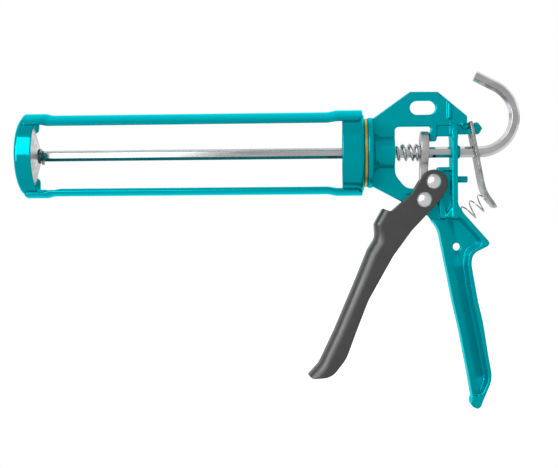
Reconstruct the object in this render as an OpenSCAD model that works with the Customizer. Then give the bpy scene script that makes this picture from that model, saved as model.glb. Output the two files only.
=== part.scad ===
// Caulking gun with a turning cradle, in millimetres.
// X = 0 is the front face of the grip frame's flange, on the push rod's axis.
// +X points to the hook, -X to the nozzle end, +Z up, and Y = 0 is the mid-plane.

/* [Cradle] */
// Inside radius of the front cup and the rear collar
cradle_r = 25.2; // [25.2:0.1:26]
// Wall of the cup, the collar and the straps
sheet_t = 1.4; // [1.2:0.1:1.5]
// Length of the cradle, from the cup's front face to the collar's rear face
cradle_l = 226.4; // [200:0.5:260]
// Depth of the front cup
cup_depth = 11.7; // [8:0.1:14]
// Depth of the rear collar
collar_depth = 14.1; // [12:0.1:20]
// Height of the front cup's wall on its open side, beside the nozzle slot
lip_h = 4.8; // [2.5:0.1:6]
// Width of the nozzle slot
nozzle_slot_w = 27.5; // [22:0.5:30]
// Angle that the upper strap covers
strap_angle = 70; // [50:1:75]
// Angle that the lower strap covers
low_strap_angle = 60; // [50:1:75]
// How far the cradle is turned on its neck
cradle_turn = 9.4; // [-30:0.1:30]

/* [Push rod] */
// Width across the flats of the hexagonal rod
rod_af = 6.35; // [6:0.05:6.4]
// Centre-line radius of the hook
hook_r = 22.7; // [20:0.1:26]
// Angle that the hook turns through
hook_angle = 152.6; // [90:0.1:160]
// Straight length at the hook's end
hook_tail = 15; // [8:0.5:20]
// Radius of the pressure disc
disc_r = 22.4; // [20:0.1:23]

/* [Grip frame] */
// Thickness of the frame's web
web_t = 5; // [4:0.1:6]
// Width of the handle's back rim and of the shoulder
rim_w = 21; // [18:0.5:22]
// Width of the handle's front rim
front_rim_w = 16; // [12:0.5:18]
// Width of the rear wall that guides the rod
wall_w = 22; // [18:0.5:22]
// Radius of the flange that carries the cradle
flange_r = 23.1; // [22.5:0.1:24]
// Radius of the hub around the rod
hub_r = 10.6; // [9:0.1:11]
// Radius of the cord hole in the handle
cord_hole_r = 2.5; // [1.5:0.1:3]

/* [Trigger] */
// Thickness of the trigger's sheet
trigger_t = 1.6; // [1.2:0.1:1.8]
// Outside width of the trigger channel
trigger_w = 18; // [17.4:0.1:19]
// Radius of the rivets' shanks
rivet_r = 3; // [2:0.1:3]
// Radius of the rivets' domed heads
rivet_head_r = 4.9; // [4:0.1:5.2]

/* [Drive plate and springs] */
// Thickness of the drive plate
plate_t = 5.2; // [4:0.1:5.3]
// Width of the drive plate's round head
plate_w = 24; // [20:0.5:26]
// Wire of the drive spring
drive_wire = 1.8; // [1.2:0.1:1.8]
// Mean radius of the drive spring
drive_coil_r = 5; // [5:0.05:5.6]
// Wire of the release spring
release_wire = 0.9; // [0.7:0.05:1.2]
// Mean radius of the release spring
release_coil_r = 5.6; // [4.8:0.05:5.8]

/* [Release lever] */
// Thickness of the release lever
lever_t = 2; // [1.5:0.1:2.2]
// Width of the release lever
lever_w = 21; // [16:0.5:22]
// Tilt of the release lever from upright
lever_tilt = 10.5; // [8:0.1:12]

/* [Hidden] */
$fn = 96;

teal = [0.0, 0.62, 0.66];
steel = [0.75, 0.76, 0.78];
black = [0.2, 0.2, 0.21];
golden = [0.69, 0.56, 0.2];

// Running gap of the rod in its guides, and the free gap between parts that only pass each other
fit_gap = 0.07;
free_gap = 0.3;

rod_r = rod_af / 2 / cos(30);
washer_t = 2.15;
washer_r = 22.4;
collar_x = -2.2;
cup_x = collar_x - cradle_l;
cup_r = cradle_r + sheet_t;
strap_t = 1.5;
strap_mid_r = 25.5;
strap_end_r = cup_r + 0.02;
slot_shift = -1.6;

flange_t = 3.4;
neck_r = 8;
neck_l = 8.2;
groove_r = 7;
ring_t = 1.2;
ring_x0 = -6.5;

window_x0 = 18.1;
wall_x0 = 54.2;
wall_x1 = 58;
wall_z0 = -43.4;
wall_z1 = 14.6;
peg_x = 65.3;
peg_z = -17.9;
slot_x0 = 32.6;
slot_x1 = 40;
slot_z = 29.2;
slot_r = 4.6;
lug = [63.6, 17.1];
cord_hole = [57.6, -61.9];

plate_x = 34.4;
plate_top = 13.8;
plate_tail_w = 10;
plate_tail_z = -22.6;

pivot = [36.7, -31.2];
pusher = [42.9, -19.4];
boss_w = trigger_w - 2 * trigger_t - 2 * free_gap;

lever_pin = [67.0, 17.2];
lever_hole_r = 4.4;

rod_front = -225.7;
rod_shoulder = -217;
spigot_r = 3;
nut_r = 5.7;
hook_x = 73.2;
plunger_pin_x = -215.6;
pin_r = 1;

// Corner of an outline, given as [x, z, radius], turned into an arc of n steps
function corner_arc(a, b, c, n = 5) =
    let (
        p = [b[0], b[1]],
        u = ([a[0], a[1]] - p) / norm([a[0], a[1]] - p),
        v = ([c[0], c[1]] - p) / norm([c[0], c[1]] - p),
        half = acos(max(-1, min(1, u * v))) / 2,
        r = b[2],
        centre = p + (u + v) / norm(u + v) * r / sin(half),
        start = p + u * r / tan(half) - centre,
        stop = p + v * r / tan(half) - centre
    )
    r == 0 ? [p] : [for (i = [0:n]) let (d = start * (1 - i / n) + stop * i / n) centre + d / norm(d) * r];

function rounded(c) =
    [for (i = [0:len(c) - 1]) each corner_arc(c[(i + len(c) - 1) % len(c)], c[i], c[(i + 1) % len(c)])];

function arc_at(centre, r, a0, a1, n) =
    [for (i = [0:n]) let (a = a0 + (a1 - a0) * i / n) [centre[0] + r * cos(a), centre[1] + r * sin(a), 0]];

// Extrudes an outline drawn in X and Z, centred on the mid-plane
module across(w) rotate([90, 0, 0]) linear_extrude(height = w, center = true) children();

// Round bar along X
module bar_x(x0, x1, r) translate([x0, 0, 0]) rotate([0, 90, 0]) cylinder(h = x1 - x0, r = r);

// Round pin along Y, centred on the mid-plane
module pin_y(p, r, w) translate([p[0], 0, p[1]]) rotate([90, 0, 0]) cylinder(h = w, r = r, center = true);

// Turns a profile of [radius, x] points about the X axis
module turned_x(points) rotate([0, 90, 0]) rotate_extrude() polygon(points);

// Flat ring around the X axis
module ring_x(x0, x1, r_in, r_out) turned_x([[r_in, x0], [r_out, x0], [r_out, x1], [r_in, x1]]);

// Spring wound up from z = 0, its last close turns lying against each other
module coil(r, wire, length, turns, close, steps) {
    sides = 8;
    rings = ceil(turns * steps);
    open = turns - close;
    pitch = (length - wire * (1 + close)) / open;
    points = [
        for (i = [0:rings])
            let (
                t = turns * i / rings,
                z = wire / 2 + pitch * min(t, open) + wire * max(0, t - open)
            )
            for (k = [0:sides - 1])
                let (b = 360 * k / sides, q = r + wire / 2 * cos(b))
                [q * cos(360 * t), q * sin(360 * t), z + wire / 2 * sin(b)]
    ];
    walls = [
        for (i = [0:rings - 1]) for (k = [0:sides - 1])
            let (m = (k + 1) % sides)
            [(i + 1) * sides + k, (i + 1) * sides + m, i * sides + m, i * sides + k]
    ];
    start = [for (k = [0:sides - 1]) sides - 1 - k];
    end = [for (k = [0:sides - 1]) rings * sides + k];
    polyhedron(points, concat([start, end], walls), convexity = 10);
}

// ---- Grip frame ----

head_outline = [
    [2.5, 21.8, 0], [27.9, 39.8, 3], [46.3, 39.6, 3], [65.4, 23.4, 0.5], [65.4, 16.4, 1],
    [69.2, 16.4, 1], [69.2, 19.2, 0.6], [72.1, 19.4, 1.4], [75.2, 15.2, 1.2], [72.7, 11.3, 1.6],
    [58, 11.3, 0]
];
handle_back = [
    [58, -34, 4], [62, -40.4, 6], [79.6, -60.4, 2.6], [67.2, -66.6, 7], [66.6, -73.5, 12],
    [70.4, -96.1, 0], [73.8, -111.1, 0], [77.1, -132.9, 0], [79.6, -147, 18], [72.6, -163.6, 0]
];
toe = arc_at([69.2, -163.1], 3.5, -12, -205, 8);
handle_front = [
    [66.6, -159.4, 0], [64.2, -144.9, 0], [59.2, -117.9, 0], [54.4, -96.1, 0], [49.4, -70.1, 0],
    [45.6, -50, 16], [38.2, -40.6, 12], [22.3, -32.4, 0], [2.5, -21.8, 0]
];
window = [
    [window_x0, 16.9, 2.6], [42, 16.9, 1.2], [40.4, 12.5, 0], [40.4, 7.1, 0], [45.2, 7.1, 1.5],
    [45.6, 10.3, 0.6], [wall_x0, 10.3, 0], [wall_x0, -9.8, 0], [45.2, -9.8, 0.8], [45.2, -13.6, 1],
    [46.8, -15.2, 1], [46.8, -23.6, 1], [25.2, -23.6, 7.5], [window_x0, -14.5, 9]
];
recess = [[48.6, -12.4, 1], [wall_x0, -12.4, 0], [wall_x0, -42, 0], [51.8, -42, 3], [48.6, -32, 3]];
pocket = [
    [48.2, -44.6, 2], [59.2, -44.6, 3], [72, -59.2, 2], [62.9, -64.6, 7], [62.1, -74, 10],
    [65.4, -96.2, 0], [69.4, -114.1, 0], [72.8, -133, 0], [75.3, -147, 12], [69.9, -158.6, 1.5],
    [67.6, -145.4, 0], [62.8, -118.8, 0], [58, -96.8, 0], [53, -71, 0]
];

module frame_outline() polygon(rounded(concat(head_outline, handle_back, toe, handle_front)));

// Stadium through which the gun hangs
module hanging_slot() {
    for (x = [slot_x0, slot_x1]) pin_y([x, slot_z], slot_r, 60);
    translate([slot_x0, -30, slot_z - slot_r]) cube([slot_x1 - slot_x0, 60, 2 * slot_r]);
}

module frame_rims() {
    // Shoulder, back rim and toe
    across(rim_w) difference() {
        intersection() {
            frame_outline();
            polygon([[50, -42], [56, -33], [90, -33], [90, -170], [69.2, -170], [57, -100], [50, -60]]);
        }
        polygon(rounded(pocket));
        polygon([[40, -42], [50, -40], [53.6, -71], [68, -145], [70.2, -158], [60, -158]]);
    }
    // Front rim
    across(front_rim_w) difference() {
        intersection() {
            frame_outline();
            polygon([[44, -44], [50, -44], [54, -71], [69, -145], [72, -160], [60, -160]]);
        }
        polygon(rounded(pocket));
    }
    // Border of the window and the edge of the head
    across(web_t + 2) difference() {
        intersection() {
            frame_outline();
            translate([2.5, -27.6]) square([wall_x1 - 2.5, 48.4]);
        }
        polygon(rounded(window));
    }
    // Pocketed block between the window and the rear wall
    across(13) difference() {
        intersection() {
            frame_outline();
            polygon([[45.2, -9.8], [wall_x0, -9.8], [wall_x0, -43.4], [47, -43.4], [45.2, -24]]);
        }
        polygon(rounded(recess));
    }
}

module grip_frame() color(teal) difference() {
    union() {
        across(web_t) frame_outline();
        frame_rims();
        bar_x(0, flange_t, flange_r);
        turned_x([
            [0, flange_t], [16.5, flange_t], [12.6, flange_t + 1.6],
            [hub_r, flange_t + 4.4], [0, flange_t + 4.4]
        ]);
        bar_x(flange_t, window_x0, hub_r);
        bar_x(-neck_l, 0, neck_r);
        // Rear wall, with the boss that guides the rod and the peg that stops the lever
        translate([wall_x0, -wall_w / 2, wall_z0]) cube([wall_x1 - wall_x0, wall_w, wall_z1 - wall_z0]);
        across(wall_w - 2) polygon(rounded([
            [wall_x0, 10, 0], [wall_x0, 15.4, 2.5], [48, 16, 0.8], [48, 18.2, 0.8],
            [wall_x1, 18.2, 4], [wall_x1, 10, 0]
        ]));
        bar_x(wall_x1, 61, 4.9);
        translate([0, 0, peg_z]) bar_x(wall_x1, peg_x, 2.15);
        // Bosses for the trigger's pivot and on the lug
        pin_y(pivot, 8, boss_w);
        pin_y(lug, 2.4, web_t + 2.4);
        // Small rib over the rear wall
        across(web_t + 2) polygon([[53.2, 20.8], [54.8, 20.8], [54.8, 31], [53.2, 32]]);
    }
    across(60) polygon(rounded(window));
    hanging_slot();
    bar_x(-neck_l - 1, 65, rod_r + fit_gap);
    pin_y(pivot, rivet_r + fit_gap, 60);
    pin_y(cord_hole, cord_hole_r, 60);
    // Blind dimples in the lug's boss
    for (side = [-1, 1]) translate([0, side * 2.9, 0]) pin_y(lug, 1.1, 2.6);
    // Groove for the neck ring
    ring_x(ring_x0 - 0.05, ring_x0 + ring_t + 0.05, groove_r, neck_r + 1);
    // Room for the lever's pad over the lug
    translate([65.4, -30, 16.4]) cube([3.8, 60, 20]);
}

module bearing_washer() color(golden) ring_x(-washer_t, 0, neck_r + 0.2, washer_r);

module inner_washer() color(steel) ring_x(-5.2, -3.7, neck_r + 0.2, 14);

// Open snap ring in the neck's groove
module neck_ring() color(steel) difference() {
    ring_x(ring_x0, ring_x0 + ring_t, groove_r + 0.1, 11);
    translate([ring_x0 - 1, -1.6, -14]) cube([ring_t + 2, 3.2, 14]);
}

// ---- Cradle ----

module turned_cradle() rotate([cradle_turn, 0, 0]) children();

module rear_collar() color(teal) turned_cradle() {
    x1 = collar_x;
    x0 = x1 - collar_depth;
    edge = 3;
    turned_x([
        [cradle_r, x0], [cup_r, x0],
        each [for (a = [0:15:90]) [cup_r - edge + edge * cos(a), x1 - edge + edge * sin(a)]],
        [neck_r + 0.4, x1], [neck_r + 0.4, x1 - sheet_t],
        each [for (a = [90:-15:0]) [cradle_r - edge + sheet_t + (edge - sheet_t) * cos(a),
            x1 - edge + (edge - sheet_t) * sin(a)]]
    ]);
}

module front_cup() color(teal) turned_cradle() difference() {
    x0 = cup_x;
    edge = 3;
    turned_x([
        [0, x0],
        each [for (a = [90:-15:0]) [cup_r - edge + edge * cos(a), x0 + edge - edge * sin(a)]],
        [cup_r, x0 + cup_depth], [cradle_r, x0 + cup_depth],
        each [for (a = [0:15:90]) [cradle_r - edge + sheet_t + (edge - sheet_t) * cos(a),
            x0 + edge - (edge - sheet_t) * sin(a)]],
        [0, x0 + sheet_t]
    ]);
    // Slot for the nozzle, open to the far side
    translate([0, 0, slot_shift]) bar_x(x0 - 1, x0 + 3, nozzle_slot_w / 2);
    translate([x0 - 1, 0, slot_shift - nozzle_slot_w / 2]) cube([20, 40, nozzle_slot_w]);
    // The far wall is cut down to a low lip that rises to the straps
    translate([0, 52, slot_shift]) rotate([90, 0, 0]) linear_extrude(height = 40) polygon(rounded([
        [x0 + 0.6, -12, 0], [x0 + 0.6, -13.7, 0], [x0 + lip_h, -16.6, 1.5], [x0 + lip_h + 2.8, -24, 0],
        [x0 + 20, -24, 0], [x0 + 20, 24, 0], [x0 + lip_h + 2.8, 24, 0], [x0 + lip_h, 16.6, 1.5],
        [x0 + 0.6, 13.7, 0], [x0 + 0.6, 12, 0]
    ]));
}

// Arched strap over the given angles from the top or the bottom, welded over the cup and the collar at its ends
module strap(side, near, far) {
    x0 = cup_x + 2.7;
    x1 = collar_x - 1.2;
    mid_from = cup_x + 20.9;
    mid_to = collar_x - 24.6;
    line = [[strap_end_r, x0], [strap_end_r, cup_x + 15.2], [strap_mid_r, mid_from], [strap_mid_r, mid_to],
        [strap_end_r, collar_x - 17.3], [strap_end_r, x1]];
    profile = concat(line, [for (i = [len(line) - 1:-1:0]) line[i] + [strap_t, 0]]);
    turned_cradle() intersection() {
        rotate([0, 90, 0]) rotate([0, 0, side > 0 ? 180 - far : -near])
            rotate_extrude(angle = near + far) polygon(profile);
        translate([0, 0, -40]) linear_extrude(height = 80) polygon([
            [x0 + 2, -16.2], [x0, -14], [x0, 14], [x0 + 2, 16.2],
            [x1 - 2.5, 16.2], [x1, 13], [x1, -13], [x1 - 2.5, -16.2]
        ]);
    }
}

module strap_top() color(teal) strap(1, strap_angle / 2, strap_angle / 2);

module strap_bottom() color(teal) strap(-1, strap_angle / 2, low_strap_angle - strap_angle / 2);

// ---- Push rod and plunger ----

module push_rod() color(steel) difference() {
    union() {
        translate([rod_shoulder, 0, 0]) rotate([0, 90, 0])
            cylinder(h = hook_x - rod_shoulder, r = rod_r, $fn = 6);
        bar_x(rod_front, rod_shoulder, spigot_r);
        // Hook, and its straight end, which starts just inside the bend
        translate([hook_x, 0, hook_r]) rotate([90, 0, 0]) rotate([0, 0, -90]) {
            rotate_extrude(angle = hook_angle) translate([hook_r, 0]) circle(r = rod_r, $fn = 6);
            rotate([0, 0, hook_angle]) translate([hook_r, -0.2, 0]) rotate([-90, 0, 0])
                linear_extrude(height = hook_tail) circle(r = rod_r - 0.02, $fn = 6);
        }
    }
    translate([plunger_pin_x, 0, -10]) cylinder(h = 20, r = pin_r + 0.05);
}

module pressure_disc() color(steel) ring_x(rod_front - 0.1, rod_front + 1, spigot_r + 0.05, disc_r);

module plunger_cone() color(steel) turned_x([
    [spigot_r + 0.05, -219.4], [nut_r + 0.2, -219.4], [19.9, -224.7], [21.1, -224.7],
    [21.1, -224.5], [5.8, -218.2], [spigot_r + 0.05, -218.2]
]);

module plunger_nut() color(steel) difference() {
    translate([rod_front + 1, 0, 0]) rotate([0, 90, 0])
        cylinder(h = -219.4 - rod_front - 1, r = nut_r, $fn = 6);
    bar_x(-230, -210, spigot_r + 0.05);
}

module lock_washer() color(steel) difference() {
    ring_x(-218.2, rod_shoulder, spigot_r + 0.05, 5);
    // Split of the spring washer
    translate([-219, -5.2, -0.5]) rotate([0, 20, 0]) cube([4, 3, 0.8]);
}

module plunger_pin() color(steel) translate([plunger_pin_x, 0, -5.7]) cylinder(h = 9, r = pin_r);

// ---- Drive ----

module drive_plate() color(steel) difference() {
    translate([plate_x, 0, 0]) rotate([90, 0, 90]) linear_extrude(height = plate_t) union() {
        translate([0, plate_top - plate_w / 2]) circle(r = plate_w / 2);
        polygon(rounded([
            [-plate_w / 2 + 0.4, 0, 4], [-plate_tail_w / 2, -9, 6], [-plate_tail_w / 2, plate_tail_z, 1],
            [plate_tail_w / 2, plate_tail_z, 1], [plate_tail_w / 2, -9, 6], [plate_w / 2 - 0.4, 0, 4]
        ]));
    }
    bar_x(plate_x - 1, plate_x + plate_t + 1, rod_r + free_gap);
}

module drive_spring() color(steel) translate([window_x0 + 0.05, 0, 0]) rotate([0, 90, 0])
    coil(drive_coil_r, drive_wire, plate_x - window_x0 - 0.1, 3.8, 1, 22);

// ---- Trigger ----

trigger_outline = concat(
    arc_at([42.7, -20.9], 9.2, 160, -25, 14),
    [
        [47.2, -31.3, 20], [28.3, -51.1, 30], [16.4, -67.4, 40], [0, -96.5, 40], [-8.6, -119.6, 40],
        [-19.8, -140.6, 18], [-34.4, -149.6, 6], [-40.6, -144.4, 0.9], [-33.2, -138.4, 5], [-22.9, -116.4, 0],
        [-9.1, -84.1, 0], [-0.8, -63.7, 10], [4.4, -55.2, 8], [3.8, -46.6, 5], [9.4, -36.6, 0.8],
        [14.8, -38.9, 3], [28.2, -27.2, 8]
    ]
);
// Line that the front wall follows, from the horn to the tip
spine = [
    [9.4, -36.6], [4.9, -44.6], [4.1, -52], [2.2, -58.7], [-1.9, -66.2], [-9.1, -84.1], [-22.9, -116.4],
    [-32.4, -136.8], [-36.6, -141]
];

function strip(line, w) =
    concat(line, [for (i = [len(line) - 1:-1:0])
        let (
            a = line[max(0, i - 1)],
            b = line[min(len(line) - 1, i + 1)],
            d = (b - a) / norm(b - a)
        )
        line[i] + [-d[1], d[0]] * w]);

module trigger() color(black) difference() {
    union() {
        for (side = [-1, 1]) translate([0, side * (trigger_w - trigger_t) / 2, 0])
            across(trigger_t) polygon(rounded(trigger_outline));
        across(trigger_w) intersection() {
            polygon(rounded(trigger_outline));
            polygon(strip(spine, trigger_t));
        }
    }
    pin_y(pivot, rivet_r, 40);
    pin_y(pusher, rivet_r, 40);
}

// Rivet across the trigger, with a domed head on each side
module rivet(p) color(steel) {
    dome_h = 2.4;
    dome_r = (rivet_head_r * rivet_head_r + dome_h * dome_h) / (2 * dome_h);
    pin_y(p, rivet_r, trigger_w);
    for (side = [-1, 1]) translate([p[0], side * trigger_w / 2, p[1]]) rotate([-side * 90, 0, 0])
        intersection() {
            translate([0, 0, dome_h - dome_r]) sphere(r = dome_r);
            cylinder(h = dome_h + 1, r = rivet_head_r);
        }
}

module pivot_rivet() rivet(pivot);

module pusher_rivet() rivet(pusher);

// ---- Release lever and its spring ----

lever_top = 2.4;
lever_tab_at = 44.5;
lever_tab_l = 12.7;
lever_tab_angle = 27;

// Height of the lever's lower end, under the pin that it hangs on
lever_end = -lever_tab_at - lever_tab_l * cos(lever_tab_angle);

// Side view of the bent sheet, upright
lever_bend = lever_t / 2 * tan(lever_tab_angle / 2);
lever_tab = [sin(lever_tab_angle), -cos(lever_tab_angle)];
lever_side = [
    [-lever_t / 2, lever_top], [lever_t / 2, lever_top], [lever_t / 2, -lever_tab_at + lever_bend],
    [0, -lever_tab_at] + lever_tab * lever_tab_l + [-lever_tab[1], lever_tab[0]] * lever_t / 2,
    [0, -lever_tab_at] + lever_tab * lever_tab_l - [-lever_tab[1], lever_tab[0]] * lever_t / 2,
    [-lever_t / 2, -lever_tab_at - lever_bend]
];

module release_lever() color(steel) translate([lever_pin[0], 0, lever_pin[1]]) rotate([0, -lever_tilt, 0])
    difference() {
        intersection() {
            across(lever_w + 1) polygon(lever_side);
            translate([-20, 0, 0]) rotate([90, 0, 90]) linear_extrude(height = 40) polygon(rounded([
                [-lever_w / 2, lever_top, 3], [lever_w / 2, lever_top, 3],
                [lever_w / 2, lever_end, 5], [-lever_w / 2, lever_end, 5]
            ]));
        }
        // Window for the frame's lug, and the hole for the rod
        translate([-5, -web_t / 2 - 0.6, -8.2]) cube([10, web_t + 1.2, 7.7]);
        translate([-5, 0, -lever_pin[1] / cos(lever_tilt)]) rotate([0, 90, 0])
            cylinder(h = 10, r = lever_hole_r);
    }

spring_foot = [63.6, -41.3];
spring_tilt = 36;
spring_l = 16.6;

module release_spring() color(steel)
    translate([spring_foot[0], 0, spring_foot[1]]) rotate([0, 90 - spring_tilt, 0])
        coil(release_coil_r, release_wire, spring_l, 2.5, 0, 24);

grip_frame();
bearing_washer();
inner_washer();
neck_ring();
rear_collar();
front_cup();
strap_top();
strap_bottom();
push_rod();
pressure_disc();
plunger_cone();
plunger_nut();
lock_washer();
plunger_pin();
drive_plate();
drive_spring();
trigger();
pivot_rivet();
pusher_rivet();
release_lever();
release_spring();
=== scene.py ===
import math

import bmesh
import bpy
import numpy as np
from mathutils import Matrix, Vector


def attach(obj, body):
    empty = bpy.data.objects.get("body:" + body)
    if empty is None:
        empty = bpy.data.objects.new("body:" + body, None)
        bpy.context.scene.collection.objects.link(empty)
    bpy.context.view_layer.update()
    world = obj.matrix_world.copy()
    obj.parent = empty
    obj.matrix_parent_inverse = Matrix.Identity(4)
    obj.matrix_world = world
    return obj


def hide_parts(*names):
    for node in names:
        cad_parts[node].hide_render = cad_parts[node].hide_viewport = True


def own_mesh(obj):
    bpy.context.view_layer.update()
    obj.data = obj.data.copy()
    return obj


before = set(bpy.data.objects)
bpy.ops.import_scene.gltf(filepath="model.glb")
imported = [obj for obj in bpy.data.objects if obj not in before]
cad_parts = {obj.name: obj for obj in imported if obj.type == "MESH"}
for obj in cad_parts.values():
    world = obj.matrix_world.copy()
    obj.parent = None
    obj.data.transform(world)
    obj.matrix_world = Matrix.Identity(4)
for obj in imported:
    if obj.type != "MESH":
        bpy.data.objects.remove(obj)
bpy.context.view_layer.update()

MM = 0.001

# ---- Driving dimensions, in millimetres ----
# X runs along the push rod to the hook, Z is up, and X = 0 is the front face of the flange.

WEB = 5.0
THIN_WEB = 3.2
BORDER = 0.2
RIM_W = 21.0
FRONT_RIM_W = 16.0
DRAFT = 1.8
WINDOW_X = 18.1
WALL_X = (54.2, 58.0)
WALL_FOOT = -43.4
WALL_W = 22.0
FLANGE_R = 23.1
FLANGE_T = 3.4
HUB_R = 10.6
NECK_R = 8.0
NECK_L = 8.2
WASHER_R = 22.4
PIVOT = (36.7, -31.2)
PUSHER = (42.9, -19.4)
CORD_HOLE = (57.6, -61.9)
CORD_HOLE_R = 2.5
LUG = (63.6, 17.1)
PEG_Z = -17.9
PEG_END = 65.3
PEG_R = 2.15
SLOT_X = (32.6, 40.0)
SLOT_Z = 29.2
SLOT_R = 4.6

ROD_AF = 6.35
ROD_R = ROD_AF / 2 / math.cos(math.pi / 6)
ROD_FRONT = -225.7
ROD_SHOULDER = -217.0
SPIGOT_R = 3.0
DISC_R = 22.4
HOOK_X = 73.2
HOOK_R = 22.7
HOOK_ANGLE = 152.6
HOOK_TAIL = 15.0

CRADLE_TURN = 9.4
CRADLE_R = 25.2
SHEET_T = 1.4
COLLAR_X = -2.2
CUP_X = COLLAR_X - 226.4
CUP_R = CRADLE_R + SHEET_T
CUP_DEPTH = 11.7
COLLAR_DEPTH = 14.1
LIP_H = 4.8
NOZZLE_R = 13.75
STRAP_T = 1.5
STRAP_MID_R = 25.5
STRAP_ANGLE = 70.0
LOW_STRAP_ANGLE = 60.0
SLOT_SHIFT = -1.6

PLATE_X = (34.4, 39.6)
PLATE_TOP = 13.8
PLATE_LOW = -22.6
PLATE_R = 12.0
PLATE_FOOT_W = 10.0
PLATE_TILT = 1.2

TRIGGER_T = 1.6
TRIGGER_W = 18.0
RIVET_R = 4.9
PIN_R = 3.0
DOME_H = 2.4

LEVER_PIN = (67.0, 17.2)
LEVER_TILT = 10.5
LEVER_T = 2.0
LEVER_W = 21.0
LEVER_TOP = 2.4
TAB_AT = 44.5
TAB_L = 12.7
TAB_ANGLE = 27.0


# ---- Outlines: lists of (x, z, corner radius) ----

def rounded(corners, steps=6):
    """The outline with each corner turned into an arc of its radius."""
    out = []
    for i, (x, z, r) in enumerate(corners):
        p = np.array([x, z])
        if r == 0:
            out.append(p)
            continue
        u = np.array(corners[i - 1][:2]) - p
        v = np.array(corners[(i + 1) % len(corners)][:2]) - p
        u /= np.linalg.norm(u)
        v /= np.linalg.norm(v)
        half = math.acos(max(-1, min(1, u @ v))) / 2
        centre = p + (u + v) / np.linalg.norm(u + v) * r / math.sin(half)
        start = p + u * r / math.tan(half) - centre
        stop = p + v * r / math.tan(half) - centre
        for t in np.linspace(0, 1, steps + 1):
            d = start * (1 - t) + stop * t
            out.append(centre + d / np.linalg.norm(d) * r)
    return [tuple(p) for p in out]


def arc(centre, r, start, stop, steps):
    """Points on an arc, as outline corners."""
    angles = np.radians(np.linspace(start, stop, steps + 1))
    return [(centre[0] + r * math.cos(a), centre[1] + r * math.sin(a), 0) for a in angles]


HEAD = [
    (2.5, 21.8, 0), (27.9, 39.8, 3), (46.3, 39.6, 3), (65.4, 23.4, 0.5), (65.4, 16.4, 1), (69.2, 16.4, 1),
    (69.2, 19.2, 0.6), (72.1, 19.4, 1.4), (75.2, 15.2, 1.2), (72.7, 11.3, 1.6), (58, 11.3, 0),
]
HANDLE_BACK = [
    (58, -34, 4), (62, -40.4, 6), (79.6, -60.4, 2.6), (67.2, -66.6, 7), (66.6, -73.5, 12), (70.4, -96.1, 60),
    (73.8, -111.1, 60), (77.1, -132.9, 60), (79.6, -147, 18), (72.6, -163.6, 0),
]
TOE = arc((69.2, -163.1), 3.5, -12, -205, 10)
HANDLE_FRONT = [
    (66.6, -159.4, 0), (64.2, -144.9, 60), (59.2, -117.9, 120), (54.4, -96.1, 120), (49.4, -70.1, 120),
    (45.6, -50, 16), (38.2, -40.6, 12), (22.3, -32.4, 8), (2.5, -21.8, 0),
]
WINDOW = [
    (WINDOW_X, 16.9, 2.6), (42.2, 16.9, 1.5), (40.4, 12.5, 2), (40.4, 7.1, 0.6), (45.2, 7.1, 1.5),
    (45.6, 10.3, 0.6), (WALL_X[0], 10.3, 0), (WALL_X[0], -9.8, 0), (45.2, -9.8, 0.8), (45.2, -13.6, 1),
    (46.8, -15.2, 1), (46.8, -23.6, 1), (25.2, -23.6, 7.5), (WINDOW_X, -14.5, 9),
]
RECESS = [
    (48.6, -12.4, 1), (WALL_X[0], -12.4, 0), (WALL_X[0], -42, 0), (51.8, -42, 3), (48.6, -32, 3),
]
POCKET = [
    (48.2, -44.6, 2), (59.2, -44.6, 3), (72, -59.2, 2), (62.9, -64.6, 7), (62.1, -74, 10), (65.4, -96.2, 60),
    (69.4, -114.1, 60), (72.8, -133, 60), (75.3, -147, 12), (69.9, -158.6, 1.5), (67.6, -145.4, 60),
    (62.8, -118.8, 60), (58, -96.8, 60), (53, -71, 60),
]
BACK_RIM = [(50, -42), (56, -33), (90, -33), (90, -170), (69.2, -170), (57, -100), (50, -60)]
BACK_RIM_CUT = [(40, -42), (50, -40), (53.6, -71), (68, -145), (70.2, -158), (60, -158)]
FRONT_RIM = [(40, -44), (61, -44), (63, -71), (66, -97), (70, -118), (75, -145), (75, -170), (60, -170)]
BLOCK = [(45.2, -9.8), (WALL_X[0], -9.8), (WALL_X[0], WALL_FOOT), (47, WALL_FOOT), (45.2, -24)]
# The rear wall's top turns forward into the head
WALL_TOP = [
    (WALL_X[0], 8, 0), (WALL_X[1], 8, 0), (WALL_X[1], 18.9, 3.4), (WALL_X[0], 18.9, 0),
]
HEAD_RIB = [(52.1, 21.4), (54.7, 21.4), (54.7, 31), (52.1, 33)]
FLANGE_FOOT = [(0, 3.4), (16.5, 3.4), (12.6, 5.0), (HUB_R, 7.8), (0, 7.8)]

# The trigger's front wall follows FRONT; TRIM cuts its other edges and runs past the front.
FRONT = [
    (-60.3, -167.4, 0), (-32.8, -137.2, 14), (-22.9, -116.4, 60), (-9.1, -84.1, 80), (-0.8, -63.7, 12),
    (4.4, -55.2, 8), (3.8, -46.6, 5), (9.4, -36.6, 0), (39, 15.6, 0), (200, 100, 0), (200, -250, 0),
    (-60.3, -250, 0),
]
TRIM = arc((42.7, -20.9), 9.2, 160, -25, 20) + [
    (47.2, -31.3, 20), (28.3, -51.1, 30), (16.4, -67.4, 40), (0, -96.5, 40), (-8.2, -117.5, 40),
    (-14.5, -134.5, 25), (-24, -146.8, 12), (-36.5, -147.8, 4), (-44.6, -141.7, 0), (-36, -134, 0),
    (-27, -114.5, 0), (-13, -82, 0), (-5, -62, 0), (0, -55, 0), (0, -46, 0), (5.4, -34.7, 0),
    (14.8, -38.9, 3), (28.2, -27.2, 8),
]

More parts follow.
